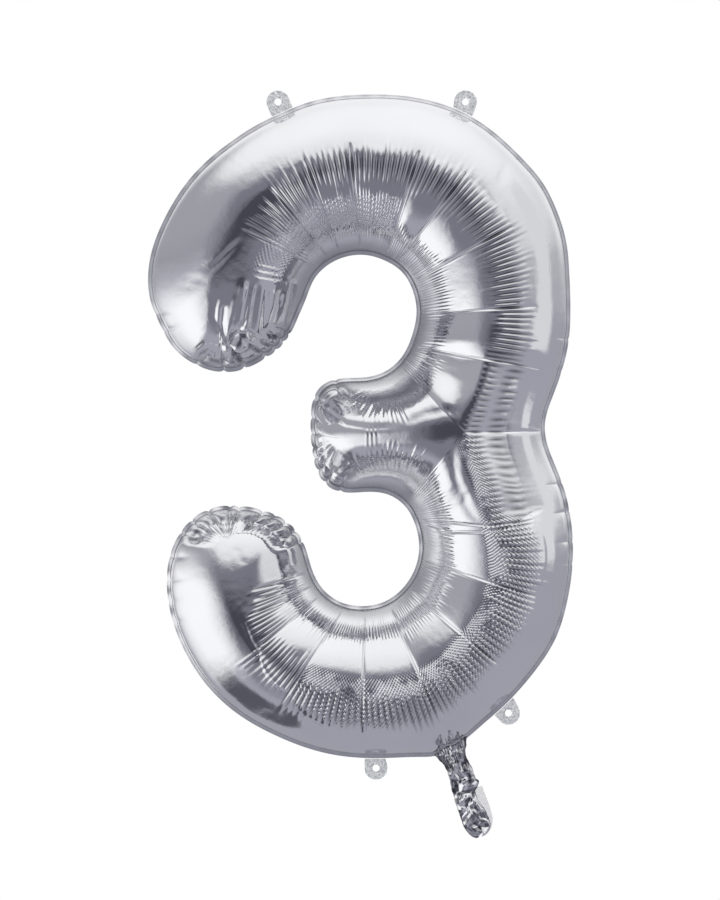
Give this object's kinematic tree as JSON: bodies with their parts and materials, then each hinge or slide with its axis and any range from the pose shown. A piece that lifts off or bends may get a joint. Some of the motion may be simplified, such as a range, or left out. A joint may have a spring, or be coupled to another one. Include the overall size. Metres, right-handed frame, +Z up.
{
  "type": "foil number balloon",
  "caption": "Inflated silver film balloon shaped as the digit 3, with puckered bends, a flat welded rim, clear hang tabs with eyelets and a crumpled filling tail with a film valve.",
  "frame": {"origin": "centre of the whole object's bounding box, on the weld plane", "axes": "+Z up as the balloon hangs, front towards -Y, +X to the right of a person facing it"},
  "size_m": [0.5505, 0.1822, 0.9686],
  "materials": {
    "silver_foil": "mirror-bright metallised film",
    "weld_foil": "flat welded film, slightly duller",
    "tail_foil": "crumpled bright film",
    "clear_film": "clear film, lightly wrinkled",
    "valve_film": "thin clear film"
  },
  "bodies": {
    "balloon": {"front_panel": "silver_foil", "back_panel": "silver_foil", "perimeter_seam": "weld_foil", "neck_front_ply": "tail_foil", "neck_back_ply": "tail_foil"},
    "tab_top_left": {"tab_top_left": "clear_film"},
    "tab_top_right": {"tab_top_right": "clear_film"},
    "tab_bottom_left": {"tab_bottom_left": "clear_film"},
    "tab_bottom_right": {"tab_bottom_right": "clear_film"},
    "tail_upper": {"tail_upper_front_ply": "tail_foil", "tail_upper_back_ply": "tail_foil"},
    "tail_lower": {"tail_lower_front_ply": "tail_foil", "tail_lower_back_ply": "tail_foil"},
    "valve_front": {"valve_front_film": "valve_film"},
    "valve_back": {"valve_back_film": "valve_film"}
  },
  "joints": [
    {"name": "tab_top_left_fold", "type": "hinge", "parent": "balloon", "child": "tab_top_left", "pos_m": [-0.1012, 0, 0.45637], "axis": [0.9153, 0, 0.4027], "range_deg": [-90, 90], "stiffness_Nm_per_rad": 0.0002},
    {"name": "tab_top_right_fold", "type": "hinge", "parent": "balloon", "child": "tab_top_right", "pos_m": [0.13259, 0, 0.45668], "axis": [0.9014, 0, -0.4329], "range_deg": [-90, 90], "stiffness_Nm_per_rad": 0.0002},
    {"name": "tab_bottom_left_fold", "type": "hinge", "parent": "balloon", "child": "tab_bottom_left", "pos_m": [0.01884, 0, -0.38135], "axis": [-1, 0, 0], "range_deg": [-90, 90], "stiffness_Nm_per_rad": 0.0002},
    {"name": "tab_bottom_right_fold", "type": "hinge", "parent": "balloon", "child": "tab_bottom_right", "pos_m": [0.18576, 0, -0.31368], "axis": [-0.7265, 0, -0.6872], "range_deg": [-90, 90], "stiffness_Nm_per_rad": 0.0002},
    {"name": "tail_root_fold", "type": "hinge", "parent": "balloon", "child": "tail_upper", "pos_m": [0.1298, 0, -0.3993], "axis": [-0.9517, 0, -0.307], "range_deg": [-60, 60], "stiffness_Nm_per_rad": 0.0005},
    {"name": "tail_mid_fold", "type": "hinge", "parent": "tail_upper", "child": "tail_lower", "pos_m": [0.13619, 0, -0.4191], "axis": [-0.9517, 0, -0.307], "range_deg": [-85, 85], "stiffness_Nm_per_rad": 0.0003},
    {"name": "valve_front_flap", "type": "hinge", "parent": "balloon", "child": "valve_front", "pos_m": [0.11476, -0.00025, -0.35267], "axis": [0.9517, 0, 0.307], "range_deg": [0, 12], "stiffness_Nm_per_rad": 0.001},
    {"name": "valve_back_flap", "type": "hinge", "parent": "balloon", "child": "valve_back", "pos_m": [0.11476, 0.00025, -0.35267], "axis": [0.9517, 0, 0.307], "range_deg": [-12, 0], "stiffness_Nm_per_rad": 0.001}
  ],
  "couplings": [
    {"joint": "valve_back_flap", "follows": "valve_front_flap", "ratio": -1}
  ]
}
